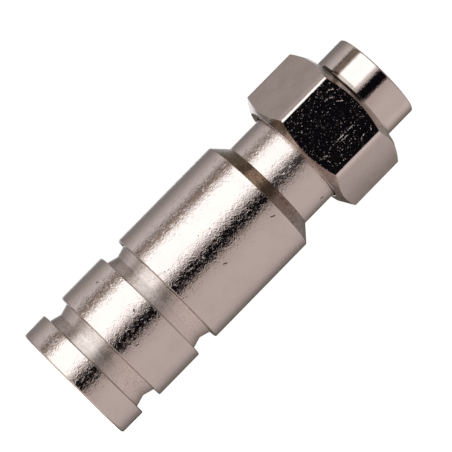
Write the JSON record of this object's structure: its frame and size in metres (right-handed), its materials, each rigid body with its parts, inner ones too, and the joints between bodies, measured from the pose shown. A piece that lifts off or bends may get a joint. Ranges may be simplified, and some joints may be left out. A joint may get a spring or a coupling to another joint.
{
  "type": "coaxial compression connector",
  "caption": "Male screw-on coaxial compression connector: hexagon nut with threaded nose, turned body with two crumple folds, barbed post and sliding pin inside.",
  "frame": {"origin": "centre of the tail face, where the cable goes in and where the connector stands", "axes": "+Z along the connector's axis, from the tail to the threaded nose; the nut's front flat faces -Y, turned 3.2 degrees toward +X"},
  "size_m": [0.0164, 0.0148, 0.0462],
  "materials": {
    "nickel_plate": "satin nickel plate on brass",
    "spring_bronze": "plated spring bronze",
    "seal_rubber": "matt black rubber",
    "carrier_plastic": "natural white plastic",
    "tin_plate": "bright tin plate on brass"
  },
  "bodies": {
    "connector_body": {"body_shell": "nickel_plate", "mandrel": "nickel_plate", "front_ferrule": "nickel_plate", "continuity_spring": "spring_bronze", "nut_seal": "seal_rubber"},
    "nut": {"coupling_nut": "nickel_plate"},
    "contact": {"pin_carrier": "carrier_plastic", "contact_pin": "tin_plate"}
  },
  "joints": [
    {"name": "nut_spin", "type": "hinge", "parent": "connector_body", "child": "nut", "pos_m": [0, 0, 0.0372], "axis": [0, 0, 1], "continuous": true},
    {"name": "pin_advance", "type": "slide", "parent": "connector_body", "child": "contact", "axis": [0, 0, 1], "range_m": [0, 0.0068]}
  ]
}
